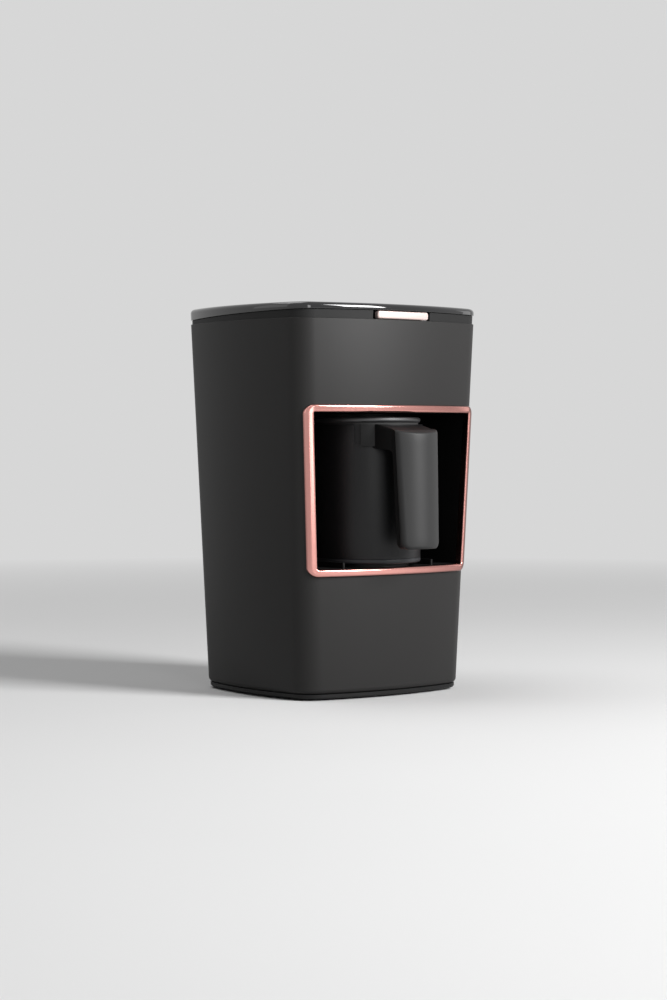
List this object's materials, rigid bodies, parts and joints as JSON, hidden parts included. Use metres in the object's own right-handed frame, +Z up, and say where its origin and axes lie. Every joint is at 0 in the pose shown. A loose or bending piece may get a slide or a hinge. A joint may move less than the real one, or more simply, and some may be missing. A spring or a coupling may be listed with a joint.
{
  "type": "electric turkish coffee maker",
  "caption": "Tapered upright electric Turkish coffee maker with bowed walls, a trimmed front bay holding a plug-in pot with a paddle handle, and a press-in start bar.",
  "frame": {"origin": "centre of the whole footprint, pot handle included, on the plane that the feet stand on", "axes": "+Z up, -Y out of the front (the side of the bay and the start bar), +X to the viewer's right when facing the front"},
  "size_m": [0.1662, 0.172, 0.25],
  "materials": {
    "soft_grey": "soft-touch matte charcoal grey, very fine texture",
    "rose_metal": "polished rose-gold plating",
    "black_satin": "satin black moulded plastic",
    "collar_grey": "satin dark grey moulded plastic",
    "black_gloss": "high-gloss piano black",
    "screw_steel": "zinc-plated steel",
    "pearl_plastic": "satin pearl rose lacquer",
    "part_white": "natural white nylon",
    "board_green": "green solder-masked board",
    "part_black": "black moulded component body",
    "lens_clear": "smoked clear lens",
    "contact_brass": "brass",
    "foot_rubber": "matte rubber",
    "seal_rubber": "matte black silicone",
    "part_yellow": "yellow component case",
    "part_blue": "blue component case",
    "part_green": "green terminal block",
    "pot_grey": "satin dark grey coating",
    "cup_steel": "brushed stainless steel",
    "ring_grey": "satin blue-grey moulded plastic",
    "alu": "machined aluminium",
    "heater_steel": "heat-tinted steel sheath",
    "pin_nickel": "nickel-plated brass",
    "grip_grey": "soft matte grey with a faint sheen"
  },
  "bodies": {
    "housing": {"outer_housing": "soft_grey", "window_frame": "rose_metal", "cavity_liner": "black_satin", "top_collar": "collar_grey", "top_cover": "black_gloss", "cover_screws": "screw_steel", "control_board": "board_green", "control_screws": "screw_steel", "start_switch": "part_black", "logic_chip": "part_black", "buzzer": "part_black", "board_connector": "part_white", "sensor_lens": "lens_clear", "sensor_board": "board_green", "sensor_eyes": "part_black", "sensor_screws": "screw_steel", "power_socket": "black_satin", "socket_contacts": "contact_brass", "base_plate": "black_satin", "base_screws": "screw_steel", "liner_screws": "screw_steel", "rubber_feet": "foot_rubber", "cord_gland": "seal_rubber", "power_board": "board_green", "power_screws": "screw_steel", "transformer": "part_yellow", "relay": "part_blue", "filter_capacitor": "part_yellow", "electrolytic_can": "part_black", "terminal_strip": "part_green"},
    "start_button": {"start_button": "pearl_plastic", "button_carrier": "part_white"},
    "switch_stem": {"switch_stem": "part_white"},
    "coffee_pot": {"pot_shell": "pot_grey", "steel_cup": "cup_steel", "rim_seal": "seal_rubber", "pot_base": "ring_grey", "pot_base_screws": "screw_steel", "heating_plate": "alu", "heating_element": "heater_steel", "thermostat": "part_white", "pot_plug": "black_satin", "plug_pins": "pin_nickel", "handle_arm": "black_satin", "grip_cover": "grip_grey", "grip_screws": "screw_steel", "saddle_screws": "screw_steel"}
  },
  "joints": [
    {"name": "start_press", "type": "slide", "parent": "housing", "child": "start_button", "axis": [0, 1, 0], "range_m": [0, 0.0018], "stiffness_N_per_m": 400},
    {"name": "switch_press", "type": "slide", "parent": "housing", "child": "switch_stem", "axis": [0, 1, 0], "range_m": [0, 0.0018]},
    {"name": "pot_draw", "type": "slide", "parent": "housing", "child": "coffee_pot", "axis": [0, -1, 0], "range_m": [0, 0.11]}
  ],
  "couplings": [
    {"joint": "switch_press", "follows": "start_press", "ratio": 1}
  ]
}
